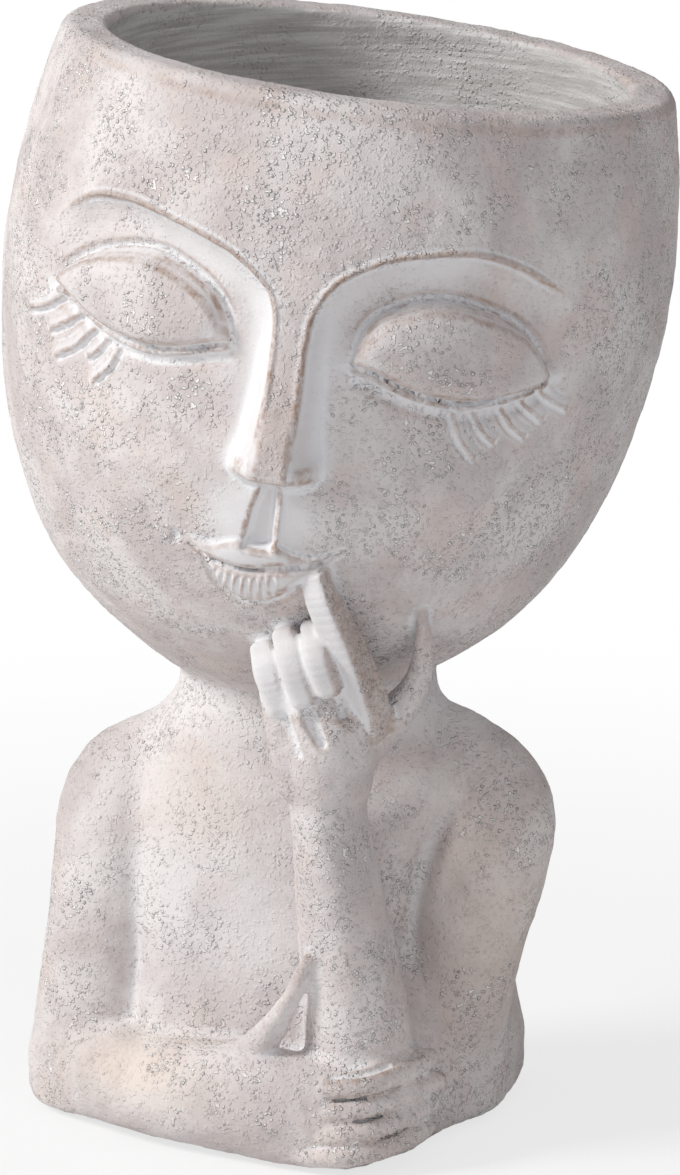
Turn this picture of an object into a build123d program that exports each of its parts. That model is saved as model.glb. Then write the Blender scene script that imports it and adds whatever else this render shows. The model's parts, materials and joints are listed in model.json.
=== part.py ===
from build123d import *
from math import cos, radians, sin
import os

UPRIGHT = (Align.CENTER, Align.CENTER, Align.MIN)
QUARTER_TURN = 90
HALF_TURN = 180

# The head, measured down its own axis from the middle of the rim
HEAD_HEIGHT = 137.0
HEAD_RADIUS = 68.2
HEAD_ROLL = 8.2
# Depth of HEAD_HEIGHT, radius of HEAD_RADIUS
HEAD_PROFILE_SHARES = (
    (0.0, 0.909), (0.117, 0.959), (0.234, 0.993), (0.350, 1.0), (0.467, 0.972), (0.584, 0.919),
    (0.701, 0.833), (0.759, 0.773), (0.818, 0.692), (0.876, 0.567), (0.934, 0.396), (0.978, 0.205),
)
RIM_SPARE = 6.0
RIM_LEVEL = 1.1
RIM_LEAN = 1.8
RIM_ROUNDING = 2.2

# The bowl inside the head
WALL = 9.0
BOWL_DEPTH = 102.0
BOWL_FLOOR_RADIUS = 33.0
BOWL_SIDE_SHARE = 0.6

# Drain hole in the bowl's floor, its stopper, and the passage through the bust
DRAIN_RADIUS = 6.5
STOPPER_CLEARANCE = 0.25
STOPPER_STEM_LENGTH = 13.0
STOPPER_STEM_CHAMFER = 1.0
STOPPER_FLANGE_RADIUS = 10.0
STOPPER_FLANGE_THICKNESS = 2.6
STOPPER_GRIP_RADIUS = 3.4
STOPPER_GRIP_HEIGHT = 9.0
STOPPER_KNOB_RADIUS = 5.0
STOPPER_KNOB_THICKNESS = 2.4
STOPPER_ROUNDING = 0.7
PASSAGE_RADIUS = 12.0
PASSAGE_DEPTH = 66.0
CHANNEL_RADIUS = 8.5
PASSAGE_MOUTH_CHAMFER = 1.5
CUT_SPARE = 5.0

# The bust, measured from the middle of its foot
BODY_WIDTH = 103.5
BODY_DEPTH = 80.0
BODY_HEIGHT = 86.5
# Place of the head's lowest point: x of BODY_WIDTH, y of BODY_DEPTH, at BODY_HEIGHT
POLE_SHARES = (0.015, 0.081)

# Foot outline corners: x of BODY_WIDTH, y of BODY_DEPTH
FOOT_OUTLINE_SHARES = ((-0.505, 0.0), (0.205, -0.515), (0.505, 0.075), (0.485, 0.485), (-0.485, 0.485))
FOOT_CORNER_RADIUS = 13.0
FOOT_BLOCK_HEIGHT = 15.0
FOOT_BLOCK_TAPER = 3.0
FOOT_EDGE_ROUNDING = 2.5

# Level oval sections: height of BODY_HEIGHT, middle x of BODY_WIDTH, middle y of BODY_DEPTH,
# half width of BODY_WIDTH, half depth of BODY_DEPTH
TORSO_SHARES = (
    (0.10, 0.000, 0.100, 0.435, 0.370), (0.25, 0.018, 0.098, 0.425, 0.360),
    (0.40, 0.038, 0.095, 0.425, 0.345), (0.55, 0.060, 0.090, 0.440, 0.335),
    (0.70, 0.075, 0.087, 0.455, 0.320), (0.85, 0.080, 0.082, 0.430, 0.300),
    (1.00, 0.080, 0.075, 0.305, 0.282), (1.15, 0.080, 0.070, 0.262, 0.295),
    (1.30, 0.075, 0.065, 0.262, 0.300),
)
RAISED_FOREARM_SHARES = (
    (0.100, 0.222, -0.290, 0.104, 0.150), (0.290, 0.228, -0.300, 0.103, 0.160),
    (0.480, 0.222, -0.325, 0.097, 0.165), (0.670, 0.200, -0.355, 0.090, 0.160),
    (0.860, 0.187, -0.385, 0.080, 0.148), (1.050, 0.174, -0.405, 0.080, 0.120),
)

# Round limbs on the body: x of BODY_WIDTH, y of BODY_DEPTH, z of BODY_HEIGHT, radius of the limb's own radius
ARM_RADIUS = 13.0
RIGHT_ARM_SHARES = (
    (-0.250, 0.070, 0.860, 0.62), (-0.298, 0.060, 0.775, 0.94), (-0.335, 0.050, 0.580, 0.96),
    (-0.360, 0.030, 0.350, 0.98), (-0.376, 0.010, 0.140, 1.05), (-0.378, 0.010, 0.040, 0.90),
)
LEFT_ARM_SHARES = (
    (0.395, 0.080, 0.900, 0.62), (0.442, 0.070, 0.800, 0.96), (0.425, 0.065, 0.600, 1.02),
    (0.398, 0.060, 0.400, 1.05), (0.377, 0.060, 0.180, 1.10), (0.372, 0.060, 0.040, 0.98),
)
FOREARM_RADIUS = 12.0
FOLDED_FOREARM_SHARES = (
    (-0.400, -0.005, 0.165, 0.60), (-0.355, -0.075, 0.165, 0.98), (-0.250, -0.170, 0.150, 1.00),
    (-0.120, -0.262, 0.140, 0.96), (0.010, -0.340, 0.145, 0.88), (0.070, -0.366, 0.150, 0.78),
)
FOLDED_PALM_SHARES = (
    (0.020, -0.335, 0.160, 0.70), (0.095, -0.375, 0.160, 0.86), (0.170, -0.392, 0.160, 0.78),
    (0.225, -0.380, 0.165, 0.50),
)
THUMB_WEB_SHARES = (
    (0.010, -0.335, 0.230, 0.50), (0.062, -0.380, 0.300, 0.34), (0.108, -0.425, 0.400, 0.24),
    (0.140, -0.452, 0.500, 0.12),
)
PALM_RADIUS = 10.0
WRIST_SHARES = ((0.183, -0.395, 0.940, 0.70), (0.172, -0.415, 1.030, 0.92))

# The folded hand's fingers: x of BODY_WIDTH, y of BODY_DEPTH, rise and radius of FINGER_RADIUS
FINGER_RADIUS = 2.7
FOLDED_FINGER_COUNT = 4
FOLDED_FINGER_PITCH = 4.7
FOLDED_FINGER_TOP_SHARE = 0.240
FOLDED_FINGER_SHARES = (
    (0.165, -0.482, -0.45, 0.80), (0.225, -0.488, -0.15, 1.00), (0.290, -0.420, 0.15, 1.00),
    (0.345, -0.330, 0.45, 0.95), (0.366, -0.288, 0.55, 0.55),
)

# Limbs on the face: turn about the head's axis in degrees, depth of HEAD_HEIGHT,
# distance off the skin and radius of the limb's own radius
KNUCKLE_SHARES = ((16.0, 0.905, 1.05, 1.06), (13.5, 0.855, 0.42, 1.00), (13.0, 0.815, -0.05, 0.50))
INDEX_SHARES = (
    (25.0, 0.905, 2.30, 1.00), (25.5, 0.872, 2.00, 1.20), (21.0, 0.815, 1.60, 1.05),
    (16.0, 0.762, 0.95, 0.92), (13.2, 0.722, 0.60, 0.72), (12.0, 0.705, 0.45, 0.40),
)
CURLED_FINGER_SHARES = (
    (
        (1.5, 0.850, 0.90, 0.70), (3.5, 0.862, 2.10, 1.05),
        (4.5, 0.890, 3.10, 1.10), (5.5, 0.922, 3.60, 0.70),
    ),
    (
        (7.0, 0.815, 0.90, 0.70), (8.5, 0.826, 2.30, 1.05),
        (10.0, 0.858, 3.20, 1.12), (11.0, 0.894, 3.60, 0.70),
    ),
    (
        (12.5, 0.790, 0.90, 0.70), (13.5, 0.800, 2.20, 1.05),
        (15.0, 0.830, 3.10, 1.10), (16.5, 0.860, 3.40, 0.70),
    ),
)
THUMB_SHARES = (
    (35.0, 0.735, 0.20, 0.45), (35.5, 0.755, 0.45, 0.85), (38.0, 0.800, 0.60, 1.15),
    (36.0, 0.860, 0.90, 1.50), (24.0, 0.900, 1.40, 1.80),
)
LIP_RADIUS = 3.2
UPPER_LIP_SHARES = (
    (-16.5, 0.666, 0.00, 0.25), (-10.0, 0.668, 0.20, 0.75), (-3.5, 0.664, 0.40, 1.05),
    (0.0, 0.668, 0.35, 0.98), (3.5, 0.662, 0.40, 1.05), (10.0, 0.661, 0.20, 0.75), (15.5, 0.654, 0.00, 0.25),
)
LOWER_LIP_SHARES = (
    (-11.5, 0.694, 0.00, 0.40), (-6.5, 0.710, 0.25, 1.05), (0.0, 0.716, 0.40, 1.25),
    (6.5, 0.706, 0.25, 1.05), (11.0, 0.690, 0.00, 0.40),
)
NOSE_RADIUS = 6.0
NOSE_SHARES = (
    (0.5, 0.225, -0.70, 0.56), (0.5, 0.330, -0.26, 0.60), (0.5, 0.430, 0.26, 0.78),
    (0.5, 0.490, 0.65, 1.00), (0.5, 0.522, 0.60, 0.74),
)
LASH_RADIUS = 0.9
# Ends of the lashes at the viewer's left eye: turn and depth at the lid, turn and depth at the tip
LASH_SHARES = (
    (-46.5, 0.345, -54.5, 0.378), (-42.5, 0.362, -49.0, 0.400), (-38.8, 0.375, -46.0, 0.432),
    (-35.6, 0.384, -39.8, 0.425), (-32.6, 0.392, -37.8, 0.452),
)
LASH_TIP_SHARE = 0.45

# Other features of the face: turns in degrees, depths of HEAD_HEIGHT
FACE_TURN = 0.5
EYE_TURN = 28.0
SOCKET_DEPTH_SHARE = 0.318
SOCKET_HALF_WIDTH = 29.0
SOCKET_RADIUS = 21.0
SOCKET_SINK = 8.0
LID_DEPTH_SHARE = 0.322
LID_HALF_WIDTH = 20.5
LID_RADIUS = 9.6
LID_PROUD = 1.0
NOSE_WING_TURN = 6.6
NOSE_WING_DEPTH_SHARE = 0.505
NOSE_WING_RADIUS = 4.0
PHILTRUM_DEPTH_SHARE = 0.595
PHILTRUM_HALF_HEIGHT = 7.0
PHILTRUM_RADIUS = 2.2

# Pads let into the underside of the foot: x of BODY_WIDTH, y of BODY_DEPTH
PAD_RADIUS = 7.0
PAD_THICKNESS = 2.0
PAD_PROUD = 1.0
PAD_SHARES = {
    "front_left": (-0.330, -0.010), "front_right": (0.190, -0.330),
    "rear_left": (-0.370, 0.360), "rear_right": (0.370, 0.360),
}


def skin_radius(depth_share):
    """Radius of the head at a depth, read between the rows of the profile."""
    rows = HEAD_PROFILE_SHARES + ((1.0, 0.0),)
    for (d0, r0), (d1, r1) in zip(rows, rows[1:]):
        if depth_share <= d1:
            return HEAD_RADIUS * (r0 + (r1 - r0) * (depth_share - d0) / (d1 - d0))
    return 0.0


def face_point(turn, depth_share, off_skin=0.0):
    """A point of the head's own frame, off_skin outside the skin. Turn 0 faces the front."""
    radius = skin_radius(depth_share) + off_skin
    return Vector(radius * sin(radians(turn)), -radius * cos(radians(turn)), -HEAD_HEIGHT * depth_share)


def face_plane(turn, depth_share, off_skin=0.0):
    """A plane that lies on the skin, x to the viewer's right and z out of the face."""
    outward = Vector(sin(radians(turn)), -cos(radians(turn)), 0)
    sideways = Vector(cos(radians(turn)), sin(radians(turn)), 0)
    return Plane(face_point(turn, depth_share, off_skin), x_dir=sideways, z_dir=outward)


def spindle(half_length, radius):
    """An egg-like solid of revolution that lies along x, pointed at neither end."""
    arc = EllipticalCenterArc((0, 0), half_length, radius, 0, arc_size=HALF_TURN)
    outline = arc + Line(arc @ 1, arc @ 0)
    return revolve(make_face(outline), Axis.X)


def limb(points, radii):
    """A smooth limb through round sections, each square to the limb's run."""
    sections = []
    for index, point in enumerate(points):
        ahead = points[min(index + 1, len(points) - 1)]
        behind = points[max(index - 1, 0)]
        sections.append(Plane(point, z_dir=ahead - behind) * Circle(radii[index]))
    return loft(sections)


def body_points(rows):
    """Places on the body from shares of its size."""
    return [Vector(BODY_WIDTH * x, BODY_DEPTH * y, BODY_HEIGHT * z) for x, y, z, _ in rows]


def face_points(rows, radius):
    """Places on the face, in the head's own frame, off the skin by shares of a radius."""
    return [face_point(turn, depth, radius * off_skin) for turn, depth, off_skin, _ in rows]


def last_shares(rows, radius):
    """The radii that end each row of a table."""
    return [radius * row[-1] for row in rows]


def body_limb(rows, radius):
    """A limb whose places are shares of the body's size."""
    return limb(body_points(rows), last_shares(rows, radius))


def face_limb(rows, radius):
    """A limb that lies on the face, in the head's own frame."""
    return limb(face_points(rows, radius), last_shares(rows, radius))


def stack(rows):
    """A smooth upright form through level oval sections."""
    sections = []
    for z, x, y, half_width, half_depth in rows:
        centre = (BODY_WIDTH * x, BODY_DEPTH * y, BODY_HEIGHT * z)
        sections.append(Pos(*centre) * Ellipse(BODY_WIDTH * half_width, BODY_DEPTH * half_depth))
    return loft(sections)


def turned(curves):
    """A solid of revolution about the z axis from a closed outline, its seam at the back."""
    return Rot(0, 0, QUARTER_TURN) * revolve(make_face(Plane.XZ * curves), Axis.Z)


def radius_above(rise):
    """Radius of the head's skin if it went on a rise above the rim."""
    (_, rim), (depth, below) = HEAD_PROFILE_SHARES[:2]
    return HEAD_RADIUS * (rim - (below - rim) * rise / (HEAD_HEIGHT * depth))


def head_outer():
    """The head as a plain egg on a small flat sole, before the face is worked."""
    rows = [(HEAD_RADIUS * r, -HEAD_HEIGHT * d) for d, r in HEAD_PROFILE_SHARES]
    top_radius = radius_above(RIM_SPARE)
    side = Spline([(top_radius, RIM_SPARE)] + rows)
    sole_radius, sole_level = rows[-1]
    rest = Polyline((sole_radius, sole_level), (0, sole_level), (0, RIM_SPARE), (top_radius, RIM_SPARE))
    return turned(side + rest)


def bowl_space():
    """The hollow of the bowl, one wall inside the head's skin."""
    top = 2 * RIM_SPARE
    top_radius = radius_above(top) - WALL
    sides = [row for row in HEAD_PROFILE_SHARES if HEAD_HEIGHT * row[0] < BOWL_DEPTH * BOWL_SIDE_SHARE]
    rows = [(HEAD_RADIUS * r - WALL, -HEAD_HEIGHT * d) for d, r in sides]
    foot = (BOWL_FLOOR_RADIUS, -BOWL_DEPTH)
    side = Spline([(top_radius, top)] + rows + [foot])
    rest = Polyline(foot, (0, -BOWL_DEPTH), (0, top), (top_radius, top))
    return turned(side + rest)


def socket(side):
    """The scoop taken out round one eye; side is -1 on the viewer's left."""
    place = face_plane(FACE_TURN + side * EYE_TURN, SOCKET_DEPTH_SHARE, SOCKET_RADIUS - SOCKET_SINK)
    return place.location * spindle(SOCKET_HALF_WIDTH, SOCKET_RADIUS)


def lid(side):
    """The closed lid that bulges in one socket."""
    place = face_plane(FACE_TURN + side * EYE_TURN, LID_DEPTH_SHARE, LID_PROUD - LID_RADIUS)
    return place.location * spindle(LID_HALF_WIDTH, LID_RADIUS)


def lashes(side):
    """The five lashes of one eye."""
    radii = [LASH_RADIUS, LASH_RADIUS * (1 + LASH_TIP_SHARE) / 2, LASH_RADIUS * LASH_TIP_SHARE]
    made = []
    for turn_0, depth_0, turn_1, depth_1 in LASH_SHARES:
        turns = (turn_0, (turn_0 + turn_1) / 2, turn_1)
        depths = (depth_0, (depth_0 + depth_1) / 2, depth_1)
        points = [face_point(FACE_TURN - side * turn, depth) for turn, depth in zip(turns, depths)]
        made.append(limb(points, radii))
    return made


def nose_wing(side):
    """The wing of one nostril."""
    place = face_plane(FACE_TURN + side * NOSE_WING_TURN, NOSE_WING_DEPTH_SHARE)
    return place.location * Sphere(NOSE_WING_RADIUS)


def philtrum():
    """The groove between nose and upper lip."""
    place = face_plane(FACE_TURN, PHILTRUM_DEPTH_SHARE)
    return place.location * Rot(0, 0, QUARTER_TURN) * spindle(PHILTRUM_HALF_HEIGHT, PHILTRUM_RADIUS)


def drain_hole():
    """The hole from the bowl's floor down through the sole."""
    length = HEAD_HEIGHT - BOWL_DEPTH + 2 * CUT_SPARE
    return Pos(0, 0, -HEAD_HEIGHT - CUT_SPARE) * Cylinder(DRAIN_RADIUS, length, align=UPRIGHT)


def head_pot():
    """The bowl with its worked face, in the head's own frame."""
    sides = (-1, 1)
    made = head_outer() - [socket(side) for side in sides]
    made += [lid(side) for side in sides]
    made += face_limb(NOSE_SHARES, NOSE_RADIUS)
    made += [nose_wing(side) for side in sides]
    made -= philtrum()
    made += [face_limb(UPPER_LIP_SHARES, LIP_RADIUS), face_limb(LOWER_LIP_SHARES, LIP_RADIUS)]
    made += [lash for side in sides for lash in lashes(side)]
    made -= bowl_space()
    made -= drain_hole()
    above_rim = Cylinder(2 * HEAD_RADIUS, HEAD_HEIGHT, align=UPRIGHT)
    made -= Rot(-RIM_LEAN, -RIM_LEVEL, 0) * above_rim
    rim = made.faces().filter_by(GeomType.PLANE).sort_by(Axis.Z)[-1]
    return fillet(rim.edges(), RIM_ROUNDING)


def foot_block():
    """The solid foot, with a slightly drawn-in top and a softened lower edge."""
    corners = [(BODY_WIDTH * x, BODY_DEPTH * y) for x, y in FOOT_OUTLINE_SHARES]
    outline = make_face(Polyline(*corners, close=True))
    outline = fillet(outline.vertices(), FOOT_CORNER_RADIUS)
    block = extrude(outline, FOOT_BLOCK_HEIGHT, taper=FOOT_BLOCK_TAPER)
    return fillet(block.faces().sort_by(Axis.Z)[0].edges(), FOOT_EDGE_ROUNDING)


def bust(head_egg):
    """Foot, torso, neck and upper arms in one casting, seated under the head."""
    made = stack(TORSO_SHARES) + foot_block()
    made += body_limb(RIGHT_ARM_SHARES, ARM_RADIUS)
    made += body_limb(LEFT_ARM_SHARES, ARM_RADIUS)
    made &= above_ground()
    made -= head_egg
    made -= passage()
    for place in pad_places().values():
        made -= place * pad_disc()
    return made


def passage():
    """The way out for water: a channel down from the head's foot, then a wide round passage."""
    x, y, _ = POLE
    made = Pos(x, y, 0) * Cylinder(CHANNEL_RADIUS, BODY_HEIGHT + CUT_SPARE, align=UPRIGHT)
    made += Pos(x, y, -CUT_SPARE) * Cylinder(PASSAGE_RADIUS, PASSAGE_DEPTH + CUT_SPARE, align=UPRIGHT)
    mouth = Cone(PASSAGE_RADIUS + PASSAGE_MOUTH_CHAMFER, PASSAGE_RADIUS, PASSAGE_MOUTH_CHAMFER, align=UPRIGHT)
    return made + Pos(x, y, 0) * mouth


def above_ground():
    """All the room above the plane of the foot."""
    return Box(2 * BODY_WIDTH, 2 * BODY_DEPTH, 2 * BODY_HEIGHT, align=UPRIGHT)


def pad_disc():
    """One pad, from its seat in the foot down to where it stands proud."""
    return Pos(0, 0, -PAD_PROUD) * Cylinder(PAD_RADIUS, PAD_THICKNESS, align=UPRIGHT)


def pad_places():
    """The place of each pad by its name."""
    return {name: Pos(BODY_WIDTH * x, BODY_DEPTH * y, 0) for name, (x, y) in PAD_SHARES.items()}


def raised_hand():
    """The palm from the wrist to the knuckles, three curled fingers and the thumb along the jaw."""
    knuckles = [(head_place * Pos(*point)).position for point in face_points(KNUCKLE_SHARES, PALM_RADIUS)]
    points = body_points(WRIST_SHARES) + knuckles
    made = limb(points, last_shares(WRIST_SHARES + KNUCKLE_SHARES, PALM_RADIUS))
    for rows in CURLED_FINGER_SHARES + (THUMB_SHARES,):
        made += head_place * face_limb(rows, FINGER_RADIUS)
    return made


def folded_finger(number):
    """One finger of the folded hand; number 0 is the top one."""
    height = BODY_HEIGHT * FOLDED_FINGER_TOP_SHARE - FOLDED_FINGER_PITCH * number
    points = []
    for x, y, rise, _ in FOLDED_FINGER_SHARES:
        points.append(Vector(BODY_WIDTH * x, BODY_DEPTH * y, height + FINGER_RADIUS * rise))
    return limb(points, last_shares(FOLDED_FINGER_SHARES, FINGER_RADIUS))


def folded_hand():
    """The palm on the foot's front corner, its raised thumb and its four fingers."""
    made = body_limb(FOLDED_PALM_SHARES, FOREARM_RADIUS)
    made += body_limb(THUMB_WEB_SHARES, FOREARM_RADIUS)
    return made + [folded_finger(number) for number in range(FOLDED_FINGER_COUNT)]


def stopper():
    """The soft stopper, its flange's underside at the origin and its stem pointing down."""
    stem_radius = DRAIN_RADIUS - STOPPER_CLEARANCE
    stem = Pos(0, 0, -STOPPER_STEM_LENGTH) * Cylinder(stem_radius, STOPPER_STEM_LENGTH, align=UPRIGHT)
    stem = chamfer(stem.faces().sort_by(Axis.Z)[0].edges(), STOPPER_STEM_CHAMFER)
    flange = Cylinder(STOPPER_FLANGE_RADIUS, STOPPER_FLANGE_THICKNESS, align=UPRIGHT)
    flange = fillet(flange.faces().sort_by(Axis.Z)[-1].edges(), STOPPER_ROUNDING)
    grip = Cylinder(STOPPER_GRIP_RADIUS, STOPPER_GRIP_HEIGHT, align=UPRIGHT)
    knob = Cylinder(STOPPER_KNOB_RADIUS, STOPPER_KNOB_THICKNESS, align=UPRIGHT)
    knob = fillet(knob.edges().filter_by(GeomType.CIRCLE), STOPPER_ROUNDING)
    grip += Pos(0, 0, STOPPER_GRIP_HEIGHT) * knob
    return stem + flange + Pos(0, 0, STOPPER_FLANGE_THICKNESS) * grip


POLE = Vector(BODY_WIDTH * POLE_SHARES[0], BODY_DEPTH * POLE_SHARES[1], BODY_HEIGHT)
head_place = Pos(*POLE) * Rot(0, HEAD_ROLL, 0) * Pos(0, 0, HEAD_HEIGHT)
head_egg = head_place * head_outer()

# Each casting section is cut back by the larger ones that it was bonded to
pieces = {}
pieces["head_pot"] = head_place * head_pot()
pieces["bust"] = bust(head_egg)
pieces["raised_forearm"] = stack(RAISED_FOREARM_SHARES) - pieces["bust"] - head_egg
pieces["raised_hand"] = raised_hand() - pieces["head_pot"] - pieces["bust"] - pieces["raised_forearm"]
pieces["index_finger"] = head_place * face_limb(INDEX_SHARES, FINGER_RADIUS)
pieces["index_finger"] -= pieces["head_pot"]
pieces["index_finger"] -= pieces["raised_hand"]
pieces["folded_forearm"] = body_limb(FOLDED_FOREARM_SHARES, FOREARM_RADIUS)
pieces["folded_forearm"] -= pieces["bust"]
pieces["folded_forearm"] -= pieces["raised_forearm"]
pieces["folded_hand"] = folded_hand()
for neighbour in ("bust", "raised_forearm", "folded_forearm"):
    pieces["folded_hand"] -= pieces[neighbour]
pieces["drain_stopper"] = head_place * Pos(0, 0, -BOWL_DEPTH) * stopper()
for name, place in pad_places().items():
    pieces["foot_pad_" + name] = place * pad_disc()

# The origin goes to the middle of the whole, at the underside of the pads
boxes = [piece.bounding_box() for piece in pieces.values()]
left = min(box.min.X for box in boxes)
right = max(box.max.X for box in boxes)
front = min(box.min.Y for box in boxes)
back = max(box.max.Y for box in boxes)
foot = min(box.min.Z for box in boxes)
to_origin = Pos(-(left + right) / 2, -(front + back) / 2, -foot)

os.makedirs("parts", exist_ok=True)
for name, piece in pieces.items():
    placed = to_origin * piece
    export_step(placed, os.path.join("parts", name + ".step"))
    print(name, len(placed.solids()), round(placed.volume), placed.bounding_box().size)
print("shift to the origin", to_origin.position)
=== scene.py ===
import json
from math import cos, pi, radians, sin

import bmesh
import bpy
import numpy as np
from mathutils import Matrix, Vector


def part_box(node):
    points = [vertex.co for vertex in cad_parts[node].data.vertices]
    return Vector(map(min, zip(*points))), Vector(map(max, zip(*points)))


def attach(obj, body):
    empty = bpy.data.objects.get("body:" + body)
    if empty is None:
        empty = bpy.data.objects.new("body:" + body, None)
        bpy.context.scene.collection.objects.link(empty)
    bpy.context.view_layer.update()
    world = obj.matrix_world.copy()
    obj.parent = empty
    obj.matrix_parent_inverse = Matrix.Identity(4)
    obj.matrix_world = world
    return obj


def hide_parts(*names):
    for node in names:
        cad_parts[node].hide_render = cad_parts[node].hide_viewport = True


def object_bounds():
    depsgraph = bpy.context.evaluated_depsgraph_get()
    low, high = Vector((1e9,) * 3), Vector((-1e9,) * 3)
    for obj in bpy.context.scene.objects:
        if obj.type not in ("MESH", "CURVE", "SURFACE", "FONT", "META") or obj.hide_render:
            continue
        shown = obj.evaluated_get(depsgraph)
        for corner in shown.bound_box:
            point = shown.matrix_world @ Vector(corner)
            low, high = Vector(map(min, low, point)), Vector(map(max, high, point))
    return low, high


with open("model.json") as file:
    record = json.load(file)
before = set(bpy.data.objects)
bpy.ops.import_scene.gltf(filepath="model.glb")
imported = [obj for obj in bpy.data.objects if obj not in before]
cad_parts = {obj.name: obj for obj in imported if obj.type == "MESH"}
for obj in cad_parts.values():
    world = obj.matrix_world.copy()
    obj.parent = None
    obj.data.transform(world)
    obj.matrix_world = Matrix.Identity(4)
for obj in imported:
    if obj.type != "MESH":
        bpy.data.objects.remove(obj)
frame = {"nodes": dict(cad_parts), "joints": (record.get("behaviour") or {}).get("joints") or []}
cad_low, cad_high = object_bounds()

# Lengths are in millimetres, in the frame's own axes, until a mesh is made
MM = 0.001
# How far from a limb its distance is worked out, and room round the casting on the lattice
REACH = 9.0
MARGIN = 4.0
POINTS_AT_ONCE = 16000
# Steps of the lattice that the casting's mesh starts on
FINE_STEP = 1.4

# The head: its rim, and the lean of its axis
HEAD_ROLL = radians(7.1)
RIM_LEAN = radians(1.8)
RIM_MIDDLE = np.array((6.1, 3.6, 223.1))
HEAD_SIDE = np.array((cos(HEAD_ROLL), 0, -sin(HEAD_ROLL)))
HEAD_UP = np.array((sin(HEAD_ROLL), 0, cos(HEAD_ROLL)))
# Sideways lean of the sections' middles per depth, down to the drift's end
DRIFT = 0.025
DRIFT_END = 130.0
# Radius that turns are unrolled on
SKIN = 68.2
# Depth down the axis and radius of the skin
PROFILE = (
    (-12, 59.2), (0, 62.0), (8, 63.9), (16, 65.4), (24, 66.6), (32, 67.4), (40, 67.7), (48, 67.7),
    (56, 66.9), (64, 65.8), (72, 64.5), (80, 62.5), (88, 59.8), (96, 56.4), (104, 51.9), (112, 45.7),
    (120, 36.8), (128, 25.0), (134, 13.0), (137, 0.0),
)
WALL = 9.0
RIM_SOFTNESS = 2.2

# The bowl's floor, the drain hole and the passage follow the stopper's axis
PULL_AXIS = np.array(frame["joints"][0]["axis"])
DRAIN_RADIUS = 6.5
PASSAGE_RADIUS = 12.0
CHANNEL_RADIUS = 8.5
SHOULDER = 67.0
HEAD_LENGTH = 137.0
SEAT_DEPTH = 102.0
POLE = np.array((-13.449, 3.604, 87.5))
SEAT = POLE + PULL_AXIS * (HEAD_LENGTH - SEAT_DEPTH)
FLOOR_SOFTNESS = 8.0
HOLE_END = 150.0
PASSAGE_SOFTNESS = 0.8
# Height that the pads hold the sole at
SOLE = 1.0
SOLE_SOFTNESS = 4.0
# Room kept between the finished skin and the frame's box
BOX_GAP = 0.02
# Nothing but the head is above this height
BUST_TOP = 142.0

# The bust: level ovals by height, middle x, middle y, half width, half depth
TORSO = (
    (-4, -12, 5.1, 34, 29), (9.7, -12, 5.1, 34, 29.6), (22.6, -12, 5, 32, 28.8),
    (35.6, -12.5, 4.7, 30.5, 26.5), (48.6, -12.5, 4.3, 30.5, 25), (61.6, -11, 4.1, 32.5, 23.5),
    (74.5, -7, 3.9, 36.5, 22.5), (84, -7.6, 3.6, 30.8, 22), (92, -6.6, 3.4, 26.8, 22.5),
    (102, -6.6, 3, 26.5, 23.5), (114, -7.2, 2.6, 26.5, 24),
)
# Limbs by x, y, z and radius
RIGHT_ARM = (
    (-30, 3, 80, 7), (-39.6, 2.5, 73.5, 10.3), (-44.8, 0.5, 66.5, 12.6), (-47.2, -2, 53, 12),
    (-48.8, -4, 38, 11.6), (-50, -3, 24, 12.6), (-50.8, -2, 13, 13.4), (-51, -1, 2, 13),
)
LEFT_ARM = (
    (17, 4, 84, 6), (25, 3.5, 76.5, 10), (31.2, 2, 67, 13.2), (30.6, -1, 55, 13), (27.4, -2, 42, 12.2),
    (24, 0, 28, 12.4), (22, 4, 16, 12.6), (21.6, 5, 4, 12.4),
)
ARM_BLEND = 3.0
# Level outlines by x and y, with the height and softness of their upper edge
ELBOW = (
    (35, 26), (34.2, 14), (28.8, -2), (22.4, -15), (17, -27), (10, -22), (6, 10), (10, 30), (30, 34),
)
ELBOW_HEIGHT = 38.0
ELBOW_SOFTNESS = 24.0
ELBOW_BLEND = 5.0
FOOT_OUTLINE = (
    (-64.8, 8), (-63.8, 1), (-59.4, -7), (-51, -15.2), (-37.2, -24.6), (-19.4, -34.6), (-8, -40.2),
    (0, -42.6), (8, -42.6), (12.5, -39.2), (17.5, -29), (23.5, -15), (29.4, -2), (34.2, 14), (34.6, 26),
    (30.6, 35.6), (-58.6, 35.6), (-64, 30),
)
FOOT_HEIGHT = 13.0
FOOT_SOFTNESS = 5.0
FOOT_BLEND = 6.0
# The folded arm: limbs by x, y, z and radius
FOREARM = (
    (-53.5, -4, 10.6, 9.5), (-48.5, -9.5, 10.6, 10.9), (-39, -16.4, 10.8, 11.4), (-28, -22.8, 10.8, 11.6),
    (-16, -28.4, 11.6, 11.6), (-6, -32.6, 12.4, 10.8), (4, -34.2, 13.2, 9.6), (10, -32, 13.4, 8.2),
)
WEB = (
    (-30, -25.5, 12.5, 7.6), (-21, -29.5, 15.6, 5.6), (-15.2, -32.5, 20.6, 4.2), (-9.6, -35.6, 27.4, 3.1),
    (-4.4, -38.6, 35.6, 2.3), (-1.6, -40.2, 41.6, 1.8), (-0.2, -41, 45.6, 1),
)
WEB_HOLLOW = (
    (-5.5, -40.4, 29, 1.5), (-2.4, -41, 31.5, 2.3), (-0.8, -41.8, 35.5, 2), (0.6, -43, 40, 1.2),
    (1.2, -43.8, 44, 0.5),
)
HAND_TOP = (
    (-12, -35, 17.6, 6.2), (-2, -37.2, 18, 6.4), (8, -36.2, 17.6, 6.2), (16, -31.6, 16.6, 5.6),
)
# Height that the folded hand's back is flattened at
LEDGE = 23.4
FINGER_RADIUS = 2.75
FINGER_PITCH = 4.85
FINGER_TOP = 20.6
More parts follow.
